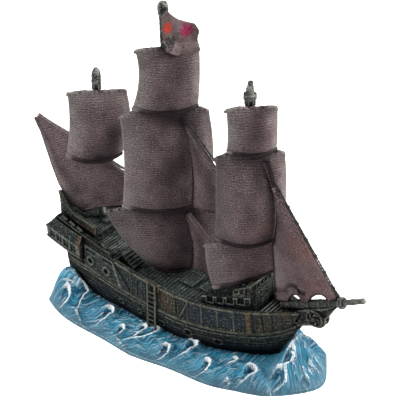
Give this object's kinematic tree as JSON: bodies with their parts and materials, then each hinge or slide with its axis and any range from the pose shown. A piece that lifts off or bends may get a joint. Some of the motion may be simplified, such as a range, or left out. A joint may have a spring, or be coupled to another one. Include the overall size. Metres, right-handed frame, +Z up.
{
  "type": "model sailing ship",
  "caption": "Painted model of a three-masted sailing ship under full sail, braced square sails, staysails and jib, on a carved wave base.",
  "frame": {"origin": "middle of the flat underside of the wave base", "axes": "+X towards the bow, +Y to port, +Z up along the masts"},
  "size_m": [0.2371, 0.096, 0.2198],
  "materials": {
    "sea_paint": "blue painted cast resin with white foam dry-brushed on the crests, satin",
    "hull_paint": "near-black green painted cast resin, olive and grey dry-brushed on the edges",
    "trim_paint": "dark olive painted cast resin with ochre dry-brushed edges",
    "deck_paint": "dark painted cast resin, grey dry-brushed planks",
    "spar_paint": "grey-green painted cast resin, matt",
    "sail_paint": "brownish mauve painted cast resin with a cast cloth weave, matt",
    "flag_paint": "mauve painted cast resin with plain coloured patches, matt"
  },
  "bodies": {
    "root": {"beakhead_grating": "deck_paint", "boarding_ladder": "trim_paint", "bowsprit": "spar_paint", "bowsprit_cap": "spar_paint", "bulwark_port": "trim_paint", "bulwark_starboard": "trim_paint", "companion_stairs": "deck_paint", "figurehead_scroll_port": "trim_paint", "figurehead_scroll_starboard": "trim_paint", "flag": "flag_paint", "fore_course_sail": "sail_paint", "fore_course_yard": "spar_paint", "fore_mast": "spar_paint", "fore_masthead": "spar_paint", "fore_stay": "spar_paint", "fore_topgallant_sail": "sail_paint", "fore_topgallant_yard": "spar_paint", "fore_topsail_sail": "sail_paint", "fore_topsail_yard": "spar_paint", "forecastle": "hull_paint", "forecastle_rail": "trim_paint", "head_knee": "hull_paint", "hull": "hull_paint", "jib": "sail_paint", "jib_boom": "spar_paint", "lateen_sail": "sail_paint", "lateen_yard": "spar_paint", "lower_staysail": "sail_paint", "main_course_sail": "sail_paint", "main_course_yard": "spar_paint", "main_deck": "deck_paint", "main_mast": "spar_paint", "main_masthead": "spar_paint", "main_stay": "spar_paint", "main_staysail": "sail_paint", "main_topgallant_sail": "sail_paint", "main_topgallant_yard": "spar_paint", "main_topsail_sail": "sail_paint", "main_topsail_yard": "spar_paint", "mizzen_mast": "spar_paint", "mizzen_masthead": "spar_paint", "mizzen_topsail_sail": "sail_paint", "mizzen_topsail_yard": "spar_paint", "poop_bulwark_port": "trim_paint", "poop_bulwark_starboard": "trim_paint", "poop_deck": "deck_paint", "quarter_gallery_port": "hull_paint", "quarter_gallery_starboard": "hull_paint", "quarter_panel_port": "hull_paint", "quarter_panel_starboard": "hull_paint", "quarter_rail_port": "trim_paint", "quarter_rail_starboard": "trim_paint", "quarterdeck": "deck_paint", "rudder": "hull_paint", "stern_gallery": "hull_paint", "taffrail": "trim_paint", "wale_port": "trim_paint", "wale_starboard": "trim_paint", "wave_base": "sea_paint"}
  },
  "joints": []
}
